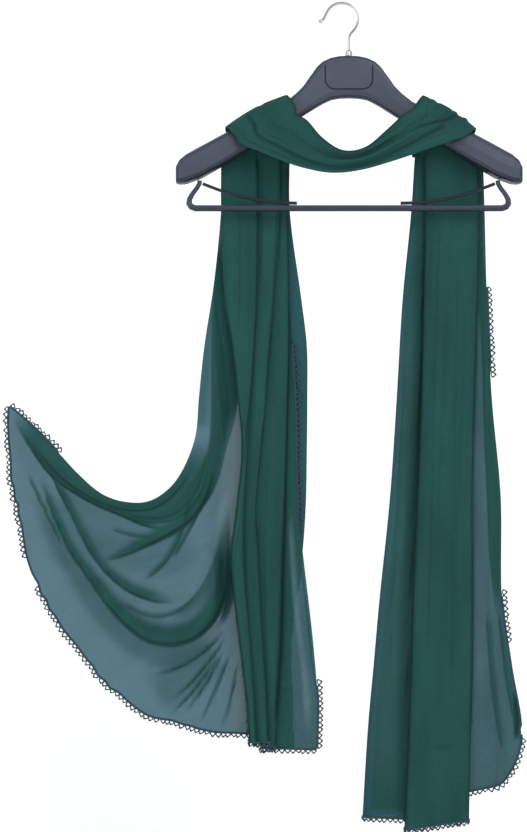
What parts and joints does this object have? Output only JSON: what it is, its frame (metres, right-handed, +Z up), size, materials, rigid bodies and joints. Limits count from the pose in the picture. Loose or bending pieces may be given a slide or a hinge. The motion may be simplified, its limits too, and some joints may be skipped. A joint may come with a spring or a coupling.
{
  "type": "dupatta stole on a hanger",
  "caption": "Sheer green stole with a narrow crochet lace edge, draped over a plastic suit hanger with a trouser bar, one end held out in a flare.",
  "frame": {"origin": "the top of the rail that the hook hangs on, at the inside of the hook", "axes": "+Z up, +X to the right and +Y to the back for someone who faces the front of the hanger"},
  "size_m": [0.6775, 0.0978, 1.0689],
  "materials": {
    "chiffon": "sheer crinkled chiffon, bottle green, matt",
    "lace": "black crochet cotton lace",
    "plastic": "moulded, fine satin",
    "chrome": "polished wire"
  },
  "bodies": {
    "root": {"hanger_body": "plastic", "trouser_bar": "plastic", "hold_down_strip_left": "plastic", "hold_down_strip_right": "plastic", "hook": "chrome", "hook_collar": "chrome", "hook_tip_ball": "chrome", "stole_neck": "chiffon", "stole_right_tail": "chiffon", "stole_left_column": "chiffon", "stole_left_flare": "chiffon", "lace_right_hem": "lace", "lace_right_edge": "lace", "lace_left_hem": "lace", "lace_left_edge": "lace", "lace_flare_hem": "lace", "lace_flare_edge": "lace"}
  },
  "joints": []
}
